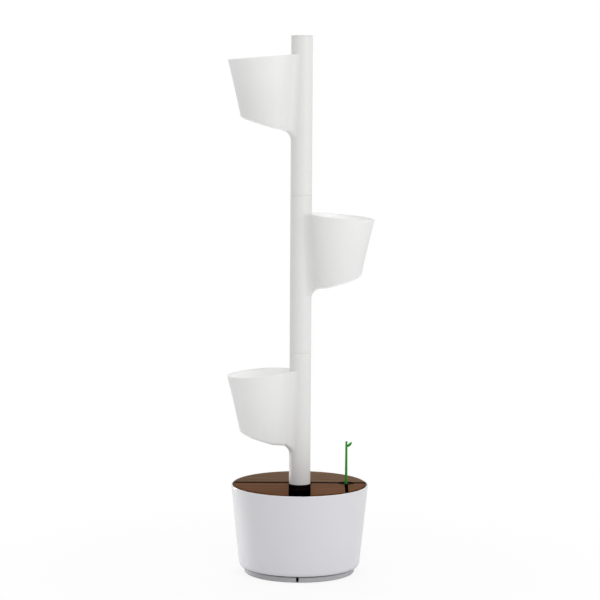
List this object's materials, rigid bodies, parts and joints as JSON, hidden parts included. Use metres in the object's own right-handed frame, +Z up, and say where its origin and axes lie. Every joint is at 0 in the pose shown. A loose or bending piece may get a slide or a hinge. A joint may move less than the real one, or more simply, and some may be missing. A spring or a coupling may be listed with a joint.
{
  "type": "vertical planter",
  "caption": "Free-standing tower of tilted pots plugged on one mast, over a round water reservoir with a wooden lid, a riser pump and a sprout-shaped level gauge.",
  "frame": {"origin": "on the mast axis at floor level, the middle of the base's footprint", "axes": "+Z up along the mast, +X towards the middle pot and the level gauge, -Y the front where the lid's slots and the cable notch are"},
  "size_m": [0.3416, 0.3206, 1.2525],
  "materials": {
    "white_plastic": "satin white moulded plastic",
    "base_white": "smooth cool white moulded plastic",
    "black_plastic": "matt black moulded plastic",
    "dark_rubber": "matt grey rubber",
    "steel": "bright steel",
    "magnet_plastic": "pale plastic rotor",
    "hose_silicone": "milky silicone",
    "float_foam": "matt closed-cell foam",
    "green_plastic": "bright green plastic",
    "brown_wood": "brown oiled boards, grain left to right"
  },
  "bodies": {
    "base": {"base_shell": "base_white", "foot_ring": "base_white", "foot_pad_1": "dark_rubber", "foot_pad_2": "dark_rubber", "foot_pad_3": "dark_rubber", "foot_pad_4": "dark_rubber", "foot_screws": "steel", "reservoir": "black_plastic", "mast_collar": "black_plastic", "collar_screws": "steel", "pump_housing": "black_plastic", "pump_cover": "black_plastic", "pump_strainer": "black_plastic", "pump_shaft": "steel", "riser_hose": "hose_silicone", "riser_spreader": "black_plastic", "gauge_tube": "black_plastic", "gauge_guide": "black_plastic"},
    "lower_module": {"lower_planter": "white_plastic", "lower_tray": "black_plastic", "lower_strainer": "black_plastic"},
    "middle_module": {"middle_planter": "white_plastic", "middle_tray": "black_plastic", "middle_strainer": "black_plastic"},
    "upper_module": {"upper_planter": "white_plastic", "upper_tray": "black_plastic", "upper_strainer": "black_plastic"},
    "cap": {"mast_cap": "white_plastic"},
    "gauge": {"gauge_float": "float_foam", "gauge_stem": "green_plastic"},
    "rotor": {"pump_impeller": "magnet_plastic"},
    "front_lid": {"front_board": "brown_wood"},
    "rear_lid": {"rear_board": "brown_wood"}
  },
  "joints": [
    {"name": "lower_module_turn", "type": "hinge", "parent": "base", "child": "lower_module", "pos_m": [0, 0, 0.151], "axis": [0, 0, 1], "continuous": true},
    {"name": "middle_module_turn", "type": "hinge", "parent": "lower_module", "child": "middle_module", "pos_m": [0, 0, 0.5175], "axis": [0, 0, 1], "continuous": true},
    {"name": "upper_module_turn", "type": "hinge", "parent": "middle_module", "child": "upper_module", "pos_m": [0, 0, 0.884], "axis": [0, 0, 1], "continuous": true},
    {"name": "cap_lift", "type": "slide", "parent": "upper_module", "child": "cap", "axis": [0, 0, 1], "range_m": [0, 0.02]},
    {"name": "gauge_float_slide", "type": "slide", "parent": "base", "child": "gauge", "axis": [0, 0, 1], "range_m": [-0.085, 0]},
    {"name": "impeller_spin", "type": "hinge", "parent": "base", "child": "rotor", "pos_m": [-0.079, 0, 0.0395], "axis": [0, 1, 0], "continuous": true},
    {"name": "front_board_lift", "type": "slide", "parent": "base", "child": "front_lid", "axis": [0, 0, 1], "range_m": [0, 0.06]},
    {"name": "rear_board_lift", "type": "slide", "parent": "base", "child": "rear_lid", "axis": [0, 0, 1], "range_m": [0, 0.06]}
  ]
}
